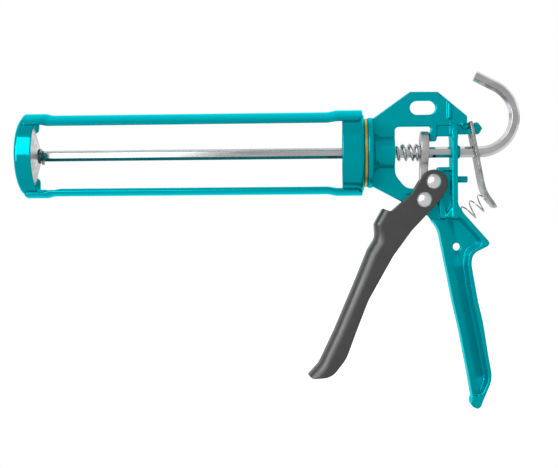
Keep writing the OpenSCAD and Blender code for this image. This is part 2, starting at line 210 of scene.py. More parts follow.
PLATE = arc((0, PLATE_TOP - PLATE_R), PLATE_R, 188, -8, 36) + [
    (PLATE_FOOT_W / 2, -9, 6), (PLATE_FOOT_W / 2, PLATE_LOW, 1), (-PLATE_FOOT_W / 2, PLATE_LOW, 1),
    (-PLATE_FOOT_W / 2, -9, 6),
]


# ---- Signed distances, in millimetres: negative inside, and made of arrays that broadcast ----

def polygon(points):
    """Distance to a closed outline, as a function of its two coordinates."""
    a = np.array([p[:2] for p in points], float)
    b = np.roll(a, -1, axis=0)

    def distance(u, v):
        nearest = np.full(np.broadcast(u, v).shape, np.inf)
        inside = np.zeros(nearest.shape, bool)
        for (ax, az), (bx, bz) in zip(a, b):
            ex, ez = bx - ax, bz - az
            t = np.clip(((u - ax) * ex + (v - az) * ez) / (ex * ex + ez * ez), 0, 1)
            nearest = np.minimum(nearest, (u - ax - ex * t) ** 2 + (v - az - ez * t) ** 2)
            if ez != 0:
                inside ^= ((az > v) != (bz > v)) & (u < ax + (v - az) * ex / ez)
        return np.where(inside, -1, 1) * np.sqrt(nearest)

    return distance


def box(u, v, u_range, v_range):
    """Distance to a rectangle."""
    du = np.abs(u - sum(u_range) / 2) - (u_range[1] - u_range[0]) / 2
    dv = np.abs(v - sum(v_range) / 2) - (v_range[1] - v_range[0]) / 2
    return np.minimum(np.maximum(du, dv), 0) + np.hypot(np.maximum(du, 0), np.maximum(dv, 0))


def slab(flat, across, half, edge):
    """A flat shape made 2 * half thick, with edges of that radius."""
    a = flat + edge
    b = np.abs(across) - half + edge
    return np.minimum(np.maximum(a, b), 0) + np.hypot(np.maximum(a, 0), np.maximum(b, 0)) - edge


def bar(radial, along, ends, r, edge):
    """A round bar: radial is the distance from its axis, and along runs from end to end."""
    return slab(radial - r, along - sum(ends) / 2, (ends[1] - ends[0]) / 2, edge)


def join(a, b, fillet=0.0):
    """Both shapes, with a fillet where they meet."""
    if fillet == 0:
        return np.minimum(a, b)
    h = np.maximum(fillet - np.abs(a - b), 0)
    return np.minimum(a, b) - h * h / (4 * fillet)


def common(a, b, edge=0.0):
    """What both shapes hold, with a rounded edge."""
    return -join(-a, -b, edge)


def cut(a, b, edge=0.0):
    """The first shape without the second."""
    return -join(-a, b, edge)


# ---- Meshes ----

CORNERS = [(i, j, k) for i in (0, 1) for j in (0, 1) for k in (0, 1)]
EDGES = [
    (a, b) for a in range(8) for b in range(a + 1, 8) if sum(np.abs(np.subtract(CORNERS[a], CORNERS[b]))) == 1
]


def surface(field, low, step):
    """Points, quads and normals of the surface where the field is zero.

    Each cell of the grid that the surface crosses gives one point.
    """
    inside = field < 0
    n = [s - 1 for s in field.shape]
    count = sum(inside[i:n[0] + i, j:n[1] + j, k:n[2] + k].astype(np.uint8) for i, j, k in CORNERS)
    active = (count > 0) & (count < 8)
    cells = np.argwhere(active)
    number = np.full(active.shape, -1, np.int64)
    number[active] = np.arange(len(cells))
    value = np.array([field[tuple((cells + c).T)] for c in CORNERS])
    place = np.zeros((len(cells), 3))
    hits = np.zeros(len(cells))
    slope = np.zeros((len(cells), 3))
    for a, b in EDGES:
        pa, pb = np.array(CORNERS[a], float), np.array(CORNERS[b], float)
        slope += np.outer(value[b] - value[a], pb - pa)
        crossed = (value[a] < 0) != (value[b] < 0)
        t = value[a][crossed] / (value[a] - value[b])[crossed]
        place[crossed] += pa + np.outer(t, pb - pa)
        hits += crossed
    place /= hits[:, None]
    normals = slope / np.linalg.norm(slope, axis=1)[:, None]
    quads = []
    for axis in range(3):
        u, v = (axis + 1) % 3, (axis + 2) % 3
        ahead = np.roll(inside, -1, axis)
        changed = inside != ahead
        changed[tuple(slice(-1, None) if i == axis else slice(None) for i in range(3))] = False
        at = np.argwhere(changed)
        at = at[(at[:, u] > 0) & (at[:, v] > 0) & (at[:, u] < n[u]) & (at[:, v] < n[v])]
        ring = []
        for du, dv in ((1, 1), (0, 1), (0, 0), (1, 0)):
            c = at.copy()
            c[:, u] -= du
            c[:, v] -= dv
            ring.append(number[tuple(c.T)])
        ring = np.array(ring).T
        outward = inside[tuple(at.T)]
        quads.append(np.where(outward[:, None], ring, ring[:, ::-1]))
    return np.array(low) + (cells + place) * step, np.vstack(quads), normals


def new_object(name, points, faces):
    """A mesh object from points in millimetres."""
    mesh = bpy.data.meshes.new(name)
    mesh.from_pydata((np.asarray(points) * MM).tolist(), [], np.asarray(faces, dtype=object).tolist())
    o = bpy.data.objects.new(name, mesh)
    bpy.context.scene.collection.objects.link(o)
    return o


def merge_flats(o, normals, limit=0.25):
    """Joins the small faces of each flat stretch, all but those at its rim, and sets the smooth normals."""
    mesh = o.data
    kept = mesh.attributes.new("soft_normal", "FLOAT_VECTOR", "POINT")
    kept.data.foreach_set("vector", normals.astype(np.float32).ravel())
    bm = bmesh.new()
    bm.from_mesh(mesh)
    bm.normal_update()
    same = math.cos(math.radians(limit))
    flat = {v for v in bm.verts if all(f.normal.dot(v.normal) > same for f in v.link_faces)}
    edges = [e for e in bm.edges if e.verts[0] in flat and e.verts[1] in flat]
    bmesh.ops.dissolve_limit(bm, angle_limit=math.radians(limit), verts=list(flat), edges=edges)
    bmesh.ops.triangulate(bm, faces=[f for f in bm.faces if len(f.verts) > 4])
    bm.to_mesh(mesh)
    bm.free()
    mesh.shade_smooth()
    soft = np.zeros(len(mesh.vertices) * 3, np.float32)
    mesh.attributes["soft_normal"].data.foreach_get("vector", soft)
    mesh.normals_split_custom_set_from_vertices(soft.reshape(-1, 3).tolist())
    mesh.attributes.remove(mesh.attributes["soft_normal"])
    return o


def sculpt(name, shape, low, high, step, turn=None):
    """The mesh of a signed distance inside a box; turn moves its points and normals to their place.

    Where the box starts at Y = 0, the shape is mirrored to the other side.
    """
    x, y, z = (np.arange(a - step, b + 2 * step, step) for a, b in zip(low, high))
    mirrored = low[1] == 0
    if mirrored:
        y = y[1:] + step / 2
    field = shape(x[:, None, None], y[None, :, None], z[None, None, :])
    field = np.broadcast_to(field, (len(x), len(y), len(z)))
    if mirrored:
        field = np.concatenate([field[:, ::-1], field], axis=1)
    points, faces, normals = surface(field, (x[0], -y[-1] if mirrored else y[0], z[0]), step)
    if turn is not None:
        points, normals = turn(points), turn(normals) - turn(np.zeros((1, 3)))
    return merge_flats(new_object(name, points, faces), normals)


def grid_faces(rows, columns, wrap_rows, wrap_columns):
    """Quads between neighbouring rows of points."""
    r = np.arange(rows if wrap_rows else rows - 1)[:, None]
    c = np.arange(columns if wrap_columns else columns - 1)[None, :]
    r2, c2 = (r + 1) % rows, (c + 1) % columns
    corners = r * columns + c, r * columns + c2, r2 * columns + c2, r2 * columns + c
    return np.stack(np.broadcast_arrays(*corners), -1).reshape(-1, 4).tolist()


def smooth(o, sharp=40):
    """Smooth shading, with the edges over that angle kept sharp and the flats kept flat."""
    bm = bmesh.new()
    bm.from_mesh(o.data)
    bmesh.ops.remove_doubles(bm, verts=bm.verts, dist=1e-7)
    bmesh.ops.recalc_face_normals(bm, faces=bm.faces)
    bm.to_mesh(o.data)
    bm.free()
    o.data.shade_smooth()
    o.data.set_sharp_from_angle(angle=math.radians(sharp))
    o.modifiers.new("normals", "WEIGHTED_NORMAL").keep_sharp = True
    return o


def applied(o):
    """The object with its modifiers made part of its mesh."""
    graph = bpy.context.evaluated_depsgraph_get()
    mesh = bpy.data.meshes.new_from_object(o.evaluated_get(graph), depsgraph=graph)
    o.modifiers.clear()
    o.data = mesh
    return o


def lathe(name, profile, segments=120, centre=(0, 0, 0), axis="x"):
    """Turns a closed profile of (radius, height, corner radius) about the X, Y or Z axis."""
    line = np.array(rounded(profile, 4))
    angles = np.linspace(0, 2 * math.pi, segments, endpoint=False)
    radius, height = line[:, 0][None, :], line[:, 1][None, :]
    u, v = radius * np.cos(angles)[:, None], radius * np.sin(angles)[:, None]
    h = np.broadcast_to(height, u.shape)
    order = {"x": (h, u, v), "y": (v, h, u), "z": (u, v, h)}[axis]
    points = np.stack(order, -1).reshape(-1, 3) + np.array(centre)
    o = smooth(new_object(name, points, grid_faces(segments, len(line), True, True)))
    return applied(o)


def tube(name, centres, us, vs, profile, sizes=None):
    """Sweeps a profile, a loop of (u, v), along centres, and closes its ends."""
    centres, us, vs = (np.asarray(a, float) for a in (centres, us, vs))
    sizes = np.ones(len(centres)) if sizes is None else np.asarray(sizes)
    loop = np.array(profile)
    points = (
        centres[:, None]
        + us[:, None] * (loop[:, 0] * sizes[:, None])[..., None]
        + vs[:, None] * (loop[:, 1] * sizes[:, None])[..., None]
    ).reshape(-1, 3)
    faces = grid_faces(len(centres), len(loop), False, True)
    faces.append(list(range(len(loop)))[::-1])
    faces.append([(len(centres) - 1) * len(loop) + i for i in range(len(loop))])
    return applied(smooth(new_object(name, points, faces)))


def turned(angle, at, axis):
    """A move that turns points about the X or Y axis through a point, by degrees."""
    a = math.radians(angle)
    c, s = math.cos(a), math.sin(a)
    about = {"x": [[1, 0, 0], [0, c, -s], [0, s, c]], "y": [[c, 0, s], [0, 1, 0], [-s, 0, c]]}
    matrix = np.array(about[axis])
    return lambda p: p @ matrix.T + np.array(at)


cradle_turn = turned(CRADLE_TURN, (0, 0, 0), "x")


# ---- Materials ----

def nodes_of(name):
    m = bpy.data.materials.new(name)
    m.use_nodes = True
    tree = m.node_tree
    return m, tree, tree.nodes["Principled BSDF"]


def noise(tree, size_mm, stretch=(1, 1, 1), detail=4.0):
    """Noise with features of that size in millimetres, stretched along an axis where stretch is under 1."""
    where = tree.nodes.new("ShaderNodeTexCoord")
    scale = tree.nodes.new("ShaderNodeMapping")
    scale.inputs["Scale"].default_value = stretch
    n = tree.nodes.new("ShaderNodeTexNoise")
    n.inputs["Scale"].default_value = 1000 / size_mm
    n.inputs["Detail"].default_value = detail
    tree.links.new(where.outputs["Object"], scale.inputs["Vector"])
    tree.links.new(scale.outputs["Vector"], n.inputs["Vector"])
    return n.outputs["Fac"]


def remap(tree, source, start, stop, low=0.0, high=1.0):
    """Maps the values from start to stop to those from low to high."""
    m = tree.nodes.new("ShaderNodeMapRange")
    for key, value in zip(("From Min", "From Max", "To Min", "To Max"), (start, stop, low, high)):
        m.inputs[key].default_value = value
    tree.links.new(source, m.inputs["Value"])
    return m.outputs["Result"]


def spread(tree, source, low, high):
    """Maps the middle of a noise to a range of values."""
    return remap(tree, source, 0.35, 0.65, low, high)


def tint(tree, source, one, other):
    """A colour between two, by a noise."""
    m = tree.nodes.new("ShaderNodeMix")
    m.data_type = "RGBA"
    m.inputs["A"].default_value = (*one, 1)
    m.inputs["B"].default_value = (*other, 1)
    tree.links.new(spread(tree, source, 0, 1), m.inputs["Factor"])
    return m.outputs["Result"]


def bump(tree, heights):
    """Bumps, each of (noise, height in mm), added one on another."""
    last = None
    for source, height in heights:
        b = tree.nodes.new("ShaderNodeBump")
        b.inputs["Distance"].default_value = height * MM
        tree.links.new(source, b.inputs["Height"])
        if last is not None:
            tree.links.new(last, b.inputs["Normal"])
        last = b.outputs["Normal"]
    return last


def enamel(name, one, other, gloss, specular, metallic, roughness, peel_mm, peel):
    """Paint with a faint orange peel and a little variation of its colour and gloss."""
    m, tree, shader = nodes_of(name)
    shader.inputs["Metallic"].default_value = metallic
    shader.inputs["Specular Tint"].default_value = (*gloss, 1)
    shader.inputs["Specular IOR Level"].default_value = specular
    tree.links.new(tint(tree, noise(tree, 18), one, other), shader.inputs["Base Color"])
    dull = spread(tree, noise(tree, 9, detail=1.0), roughness - 0.02, roughness + 0.03)
    tree.links.new(dull, shader.inputs["Roughness"])
    tree.links.new(bump(tree, [(noise(tree, peel_mm, detail=1.0), peel)]), shader.inputs["Normal"])
    return m


def metal(name, one, other, roughness, grain_mm, grain, stretch=(1, 1, 1), wear=0.08):
    """Bare or plated steel with a grain, fine pits and patches of duller metal."""
    m, tree, shader = nodes_of(name)
    shader.inputs["Metallic"].default_value = 1.0
    shader.inputs["Specular Tint"].default_value = (0.7, 0.7, 0.7, 1)
    tree.links.new(tint(tree, noise(tree, grain_mm * 6, stretch), one, other), shader.inputs["Base Color"])
    dull = spread(tree, noise(tree, grain_mm * 2.5, stretch), roughness - wear / 2, roughness + wear)
    tree.links.new(dull, shader.inputs["Roughness"])
    tree.links.new(bump(tree, [(noise(tree, grain_mm, stretch), grain)]), shader.inputs["Normal"])
    return m


TEAL_GLOSS = (0, 0.95, 1)
WHITE_GLOSS = (1, 1, 1)
MATERIALS = {
    "cast_enamel": enamel(
        "cast_enamel", (0, 0.37, 0.425), (0, 0.385, 0.44), TEAL_GLOSS, 0, 0.64, 0.22, 3.5, 0.005,
    ),
    "sheet_enamel": enamel(
        "sheet_enamel", (0, 0.36, 0.415), (0, 0.37, 0.425), TEAL_GLOSS, 0, 0.7, 0.12, 7, 0.004,
    ),
    "black_enamel": enamel(
        "black_enamel", (0.008, 0.008, 0.008), (0.011, 0.011, 0.011), WHITE_GLOSS, 1, 0, 0.36, 3, 0.004,
    ),
    "plated_rod": metal(
        "plated_rod", (0.48, 0.48, 0.485), (0.62, 0.62, 0.625), 0.13, 0.8, 0.006, (0.08, 1, 1),
    ),
    "zinc_steel": metal("zinc_steel", (0.45, 0.445, 0.44), (0.62, 0.61, 0.61), 0.3, 0.9, 0.012),
    "cut_steel": metal("cut_steel", (0.3, 0.3, 0.3), (0.48, 0.48, 0.48), 0.34, 0.9, 0.03),
    "rivet_steel": metal("rivet_steel", (0.76, 0.76, 0.77), (0.84, 0.84, 0.85), 0.3, 2.5, 0.004),
    "spring_steel": metal("spring_steel", (0.45, 0.45, 0.46), (0.6, 0.6, 0.61), 0.18, 0.9, 0.004),
    "golden_washer": metal("golden_washer", (0.55, 0.34, 0.055), (0.68, 0.44, 0.09), 0.3, 1.5, 0.008),
}


def place(o, body, slot, *nodes):
    """Gives a piece its finish and its body, and hides the CAD nodes that it stands for."""
    o.data.materials.clear()
    o.data.materials.append(MATERIALS[slot])
    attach(o, body)
    if nodes:
        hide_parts(*nodes)
    return o


def keep(node, slot):
    """A CAD node that shows as it is, with its finish."""
    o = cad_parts[node]
    o.data.materials.clear()
    o.data.materials.append(MATERIALS[slot])


# ---- Grip frame ----

def grip_frame():
    outline_of = polygon(rounded(HEAD + HANDLE_BACK + TOE + HANDLE_FRONT))
    window_of, pocket_of, recess_of = (polygon(rounded(corners)) for corners in (WINDOW, POCKET, RECESS))
    back_of, back_cut_of, front_of = polygon(BACK_RIM), polygon(BACK_RIM_CUT), polygon(FRONT_RIM)
    block_of, wall_top_of = polygon(BLOCK), polygon(rounded(WALL_TOP))
    rib_of, foot_of = polygon(HEAD_RIB), polygon(FLANGE_FOOT)

    def web(outline, window, x, y, z):
        """Head and handle, with a border round the window and a thin strip under the head."""
        d = slab(outline, y, WEB / 2, 0.8)
        thin = box(x, z, (45.4, 66.2), (0, 17.2))
        border = np.maximum(np.maximum(outline, -window), box(x, z, (2.5, WALL_X[1]), (-27.6, 20.8)))
        d = join(d, slab(border, y, WEB / 2 + BORDER, 0.2), 0.2)
        return cut(d, common(thin, THIN_WEB / 2 - np.abs(y)), 0.8)

    def rims(d, outline, pocket, x, y, z):
        """Handle's rims: the back one is a wall that leans outwards, the front one slopes into the pocket."""
        depth = np.clip((np.abs(y) - WEB / 2) / 8, 0, 1)
        back = np.maximum(outline, DRAFT * depth - pocket)
        back = np.maximum(back, np.maximum(back_of(x, z), -back_cut_of(x, z)))
        d = join(d, slab(back, y, RIM_W / 2, 0.7), 0.8)
        # The front rim falls evenly from the handle's front edge to the foot of the back rim
        fall = np.clip(((x - 49.4) * 0.981 + (z + 70.1) * 0.194) / 11, 0, 1)
        high = (FRONT_RIM_W - WEB) / 2
        slope = (np.abs(y) - WEB / 2 - high * (1 - fall)) / np.hypot(1, high / 11)
        front = np.maximum(common(outline, slope, 0.9), front_of(x, z))
        return common(join(d, front, 0.5), outline, 0.6)

    def wall(d, x, y, z):
        """Rear wall: its foot stands square on the shoulder, and its top leans back into the head."""
        d = join(d, slab(box(x, z, WALL_X, (WALL_FOOT, 12)), y, WALL_W / 2, 0.7), 0.5)
        rise = np.clip((z - 13) / 6, 0, 1)
        half = WALL_W / 2 - 8.4 * (1 - np.sqrt(1 - rise ** 2))
        near = (np.abs(y) - half) / np.hypot(1, 1.4 * rise / np.sqrt(1.1 - rise ** 2))
        return join(d, common(wall_top_of(x, z), near, 0.7), 0.8)

    def shape(x, y, z):
        outline, window, pocket = outline_of(x, z), window_of(x, z), pocket_of(x, z)
        radial = np.hypot(y, z)
        pivot = np.hypot(x - PIVOT[0], z - PIVOT[1])
        lug = np.hypot(x - LUG[0], z - LUG[1])
        d = web(outline, window, x, y, z)
        d = rims(d, outline, pocket, x, y, z)
        block = np.maximum(np.maximum(outline, -recess_of(x, z)), block_of(x, z))
        d = join(d, slab(block, y, 6.5, 0.6), 0.6)
        d = wall(d, x, y, z)
        d = join(d, slab(rib_of(x, z), y, WEB / 2 + 1.9, 1.2), 0.4)
        # Flange, its foot, hub and neck
        d = join(d, bar(radial, x, (0, FLANGE_T), FLANGE_R, 0.8), 0.8)
        d = join(d, foot_of(radial, x), 0.8)
        d = join(d, bar(radial, x, (FLANGE_T, WINDOW_X), HUB_R, 0.4), 0.6)
        d = join(d, bar(radial, x, (-NECK_L, 0), NECK_R, 0.4))
        # Bosses and the peg
        d = join(d, bar(radial + np.clip(x - WALL_X[1], 0, 3) / 3, x, (WALL_X[0], 61), 4.9, 0.5), 0.8)
        d = join(d, bar(np.hypot(y, z - PEG_Z), x, (WALL_X[0], PEG_END), PEG_R, 0.6), 0.7)
        d = join(d, bar(pivot, y, (-7.1, 7.1), 8, 0.6), 0.6)
        d = join(d, bar(lug, y, (-3.6, 3.6), 2.4, 0.6), 0.6)
        # Openings
        d = cut(d, window, 0.9)
        slot = join(join(np.hypot(x - SLOT_X[0], z - SLOT_Z), np.hypot(x - SLOT_X[1], z - SLOT_Z)) - SLOT_R,
                    box(x, z, SLOT_X, (SLOT_Z - SLOT_R, SLOT_Z + SLOT_R)))
        d = cut(d, slot, 1.2)
        d = cut(d, radial - ROD_R - 0.07, 0.5)
        d = cut(d, pivot - PIN_R - 0.05, 0.4)
        d = cut(d, np.hypot(x - CORD_HOLE[0], z - CORD_HOLE[1]) - CORD_HOLE_R, 0.8)
        d = cut(d, np.maximum(lug - 1.15, 1.6 - np.abs(y)), 0.4)
        groove = np.maximum(np.abs(x + 5.9) - 0.65, 7 - radial)
        d = cut(d, groove, 0.1)
        return cut(d, box(x, z, (65.4, 69.2), (16.4, 40)), 0.4)

    o = sculpt("grip_frame_casting", shape, (-NECK_L, 0, -167.5), (80, FLANGE_R, 40.5), 0.5)
    place(o, "frame", "cast_enamel", "grip_frame")


# ---- Cradle ----

def front_cup():
    # Half of the far wall's opening, from the lip's edge out to the straps
    side = [
        (CUP_X + 0.6, 13.7, 0), (CUP_X + LIP_H, 16.6, 1.5), (CUP_X + LIP_H + 2.8, 24, 0), (CUP_X + 20, 24, 0),
    ]
    lip_of = polygon(rounded(side + [(x, -z, r) for x, z, r in side[::-1]]))

    def shape(x, y, z):
        radial = np.hypot(y, z)
        skin = slab(radial - CUP_R, x - CUP_X - 20, 20, 3)
        d = np.abs(skin + SHEET_T / 2) - SHEET_T / 2
        d = common(d, x - CUP_X - CUP_DEPTH, 0.5)
        up = z - SLOT_SHIFT
        nozzle = join(np.hypot(y, up) - NOZZLE_R, box(y, up, (0, 60), (-NOZZLE_R, NOZZLE_R)))
        d = cut(d, nozzle, 0.5)
        return cut(d, common(lip_of(x, up), np.where(z < 0, 9.6, 12) - y), 0.5)

    low, high = (CUP_X, -CUP_R, -CUP_R), (CUP_X + CUP_DEPTH, CUP_R, CUP_R)
    o = sculpt("front_cup_sheet", shape, low, high, 0.45, cradle_turn)
    place(o, "cradle", "sheet_enamel", "front_cup")


def rear_collar():
    x0 = COLLAR_X - COLLAR_DEPTH
    profile = [
        (CRADLE_R, x0, 0.5), (CUP_R, x0, 0.6), (CUP_R, COLLAR_X, 3), (NECK_R + 0.4, COLLAR_X, 0.2),
        (NECK_R + 0.4, COLLAR_X - SHEET_T, 0.2), (CRADLE_R, COLLAR_X - SHEET_T, 1.6),
    ]
    place(lathe("rear_collar_sheet", profile, 180), "cradle", "sheet_enamel", "rear_collar")


def strap(side, near, far, name, node):
    """Arched strap, over the angles near and far: bent out at both ends, over the cup and the collar."""
    x0, x1 = CUP_X + 2.7, COLLAR_X - 1.2
    ends = [(x0, 14), (x0 + 2, 16.2), (x1 - 2.5, 16.2), (x1, 13)]
    joggles = [(CUP_X + 15.2, CUP_X + 20.9), (COLLAR_X - 24.6, COLLAR_X - 17.3)]
    stops = [x0, x0 + 2] + [x + d for joggle in joggles for x, d in zip(joggle, (-1, 1))] + [x1 - 2.5, x1]
    counts = [8, 6, 14, 24, 14, 8, 6]
    xs = np.unique(np.concatenate([np.linspace(a, b, n + 1) for a, b, n in zip(stops, stops[1:], counts)]))

    def ease(x, a, b):
        t = np.clip((x - a) / (b - a), 0, 1)
        return t * t * (3 - 2 * t)

    high = 1 - ease(xs, *joggles[0]) + ease(xs, *joggles[1])
    radius = STRAP_MID_R + (CUP_R + 0.02 - STRAP_MID_R) * high
    half_width = np.interp(xs, [e[0] for e in ends], [e[1] for e in ends])
    outer = radius + STRAP_T
    reach = np.arcsin(np.minimum(half_width / outer, 1))
    near, far = (np.minimum(math.radians(a), reach) for a in (near, far))
    steps = 22
    share = np.linspace(0, 1, steps + 1)
    angle = (near + far)[:, None] * share - near[:, None]
    rings = []
    for r in (outer, radius):
        along = np.broadcast_to(xs[:, None], angle.shape)
        rings.append(np.stack([along, r[:, None] * np.sin(angle), side * r[:, None] * np.cos(angle)], -1))
    loop = np.concatenate([rings[0], rings[1][:, ::-1]], axis=1)
    rows, columns = loop.shape[:2]
    points = cradle_turn(loop.reshape(-1, 3))
    faces = grid_faces(rows, columns, False, True)
    for row in (0, rows - 1):
        for i in range(steps):
            base = row * columns
            faces.append([base + i, base + i + 1, base + columns - 2 - i, base + columns - 1 - i])
    o = new_object(name, points, faces)
    smooth(o, 50)
    o.modifiers.clear()
    bevel = o.modifiers.new("edges", "BEVEL")
    bevel.width = 0.4 * MM
    bevel.segments = 3
    bevel.limit_method = "ANGLE"
    bevel.angle_limit = math.radians(50)
    o.modifiers.new("normals", "WEIGHTED_NORMAL").keep_sharp = True
    applied(o)
    o.data.set_sharp_from_angle(angle=math.radians(60))
    place(o, "cradle", "sheet_enamel", node)


def washers():
    r, edge = NECK_R + 0.2, COLLAR_X + 0.05
    profile = [(r, edge, 0.2), (WASHER_R, edge, 0.5), (WASHER_R, 0, 0.5), (r, 0, 0.2)]
    place(lathe("bearing_washer_ring", profile, 160), "frame", "golden_washer", "bearing_washer")
    keep("inner_washer", "zinc_steel")
    keep("neck_ring", "spring_steel")


# ---- Push rod and plunger ----

def hexagon(af, corner):
    r = af / 2 / math.cos(math.pi / 6)
    points = [(r * math.cos(k * math.pi / 3), r * math.sin(k * math.pi / 3), corner) for k in range(6)]
    return rounded(points, 3)


def push_rod():
    """Hexagonal rod with a bent hook, cut square at its end."""
    chamfer = 0.45
    straight = [ROD_SHOULDER, ROD_SHOULDER + chamfer] + list(np.linspace(-200, 60, 14)) + [HOOK_X]
    bend = np.radians(np.linspace(0, HOOK_ANGLE, 56))[1:]
    last = np.array([math.cos(bend[-1]), 0, math.sin(bend[-1])])
    centres = [(x, 0, 0) for x in straight]
    centres += [(HOOK_X + HOOK_R * math.sin(a), 0, HOOK_R - HOOK_R * math.cos(a)) for a in bend]
    centres += [np.array(centres[-1]) + last * s for s in (HOOK_TAIL - chamfer, HOOK_TAIL)]
    angles = [0] * len(straight) + list(bend) + [bend[-1]] * 2
    us = [(-math.sin(a), 0, math.cos(a)) for a in angles]
    vs = [(0, -1, 0)] * len(centres)
    sizes = np.ones(len(centres))
    sizes[0] = sizes[-1] = 1 - chamfer / ROD_R
    rod = tube("push_rod_bar", centres, us, vs, hexagon(ROD_AF - 0.02, 0.45), sizes)
    place(rod, "rod", "plated_rod", "push_rod")
    profile = [
        (0.01, ROD_FRONT, 0), (SPIGOT_R, ROD_FRONT, 0.4), (SPIGOT_R, ROD_SHOULDER + 1, 0),
        (0.01, ROD_SHOULDER + 1, 0),
    ]
    place(lathe("push_rod_spigot", profile, 48), "rod", "plated_rod")


def plunger():
    bore = SPIGOT_R + 0.05
    disc = [
        (bore, ROD_FRONT - 0.1, 0.1), (DISC_R, ROD_FRONT - 0.1, 0.45), (DISC_R, ROD_FRONT + 1, 0.45),
        (bore, ROD_FRONT + 1, 0.1),
    ]
    place(lathe("pressure_disc_plate", disc, 160), "rod", "zinc_steel", "pressure_disc")
    cone = [
        (bore, -219.4, 0), (4.7, -219.4, 1.2), (19.9, -224.69, 1.5), (21.1, -224.69, 0.09),
        (21.1, -224.5, 0.09), (5.2, -218.2, 1.4), (bore, -218.2, 0),
    ]
    place(lathe("plunger_cone_sheet", cone, 160), "rod", "zinc_steel", "plunger_cone")
    pin = [(0.01, -5.7, 0), (1, -5.7, 0.25), (1, 3.3, 0.25), (0.01, 3.3, 0)]
    place(lathe("plunger_pin_wire", pin, 32, (-215.6, 0, 0), "z"), "rod", "zinc_steel", "plunger_pin")
    keep("plunger_nut", "zinc_steel")
    keep("lock_washer", "spring_steel")


# ---- Drive plate and springs ----

def drive_plate():
    outline_of = polygon(rounded(PLATE))
    mid = sum(PLATE_X) / 2

    def shape(x, y, z):
        d = slab(outline_of(y, z), x, (PLATE_X[1] - PLATE_X[0]) / 2, 0.4)
        return cut(d, np.hypot(y, z) - ROD_R - 0.3, 0.4)

    low, high = (-2.6, 0, PLATE_LOW), (2.6, PLATE_R, PLATE_TOP)
    o = sculpt("drive_plate_body", shape, low, high, 0.3, turned(PLATE_TILT, (mid, 0, 0), "y"))
    place(o, "plate", "zinc_steel", "drive_plate")


def coil_spring(name, r, wire, length, turns, close, start, tilt, phase, body, node):
    """Round wire wound from start, first at phase degrees from below; its last close turns lie together."""
    open_turns = turns - close
    pitch = (length - wire * (1 + close)) / open_turns
    t = np.linspace(0, turns, int(turns * 40) + 1)
    rise = wire / 2 + pitch * np.minimum(t, open_turns) + wire * np.maximum(t - open_turns, 0)
    slope = np.where(t < open_turns, pitch, wire) / (2 * math.pi * r)
    a = 2 * math.pi * t + math.radians(phase)
    tilt_a = math.radians(tilt)
    along = np.array([math.cos(tilt_a), 0, math.sin(tilt_a)])
    side = np.array([math.sin(tilt_a), 0, -math.cos(tilt_a)])
    out = np.outer(np.cos(a), side) + np.outer(np.sin(a), (0, 1, 0))
    ahead = np.outer(-np.sin(a), side) + np.outer(np.cos(a), (0, 1, 0)) + slope[:, None] * along
    ahead /= np.linalg.norm(ahead, axis=1)[:, None]
    ring = [(wire / 2 * math.cos(b), wire / 2 * math.sin(b)) for b in np.linspace(0, 2 * math.pi, 14)[:-1]]
    centres = np.array([start[0], 0, start[1]]) + np.outer(rise, along) + r * out
    sizes = np.ones(len(t))
    sizes[0] = sizes[-1] = 0.7
    o = tube(name, centres, out, np.cross(ahead, out), ring, sizes)
    place(o, body, "spring_steel", node)
    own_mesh(o)


# ---- Trigger ----

def trigger():
    front_of, trim_of = polygon(rounded(FRONT)), polygon(rounded(TRIM))

    def shape(x, y, z):
        skin = slab(front_of(x, z), y, TRIGGER_W / 2, np.interp(z, (-58, -46), (8, 5)))
        d = np.abs(skin + TRIGGER_T / 2) - TRIGGER_T / 2
        d = common(d, trim_of(x, z), 0.5)
        for p in (PIVOT, PUSHER):
            d = cut(d, np.hypot(x - p[0], z - p[1]) - PIN_R, 0.2)
        return d

    o = sculpt("trigger_sheet", shape, (-42, 0, -150), (52, 9, -11), 0.45)
    place(o, "trigger", "black_enamel", "trigger")


def rivet(at, name, node):
    """Rivet across the trigger, with a domed head on each side."""
    half = TRIGGER_W / 2
    dome_r = (RIVET_R ** 2 + DOME_H ** 2) / (2 * DOME_H)
    slopes = np.linspace(0.002, math.asin(RIVET_R / dome_r), 12)
    dome = [(dome_r * math.sin(a), half + DOME_H - dome_r * (1 - math.cos(a)), 0) for a in slopes]
    side = dome + [(RIVET_R, half, 0), (PIN_R, half, 0)]
    profile = side + [(r, -h, c) for r, h, c in side[::-1]]
    place(lathe(name, profile, 64, (at[0], 0, at[1]), "y"), "trigger", "rivet_steel", node)


# ---- Release lever ----

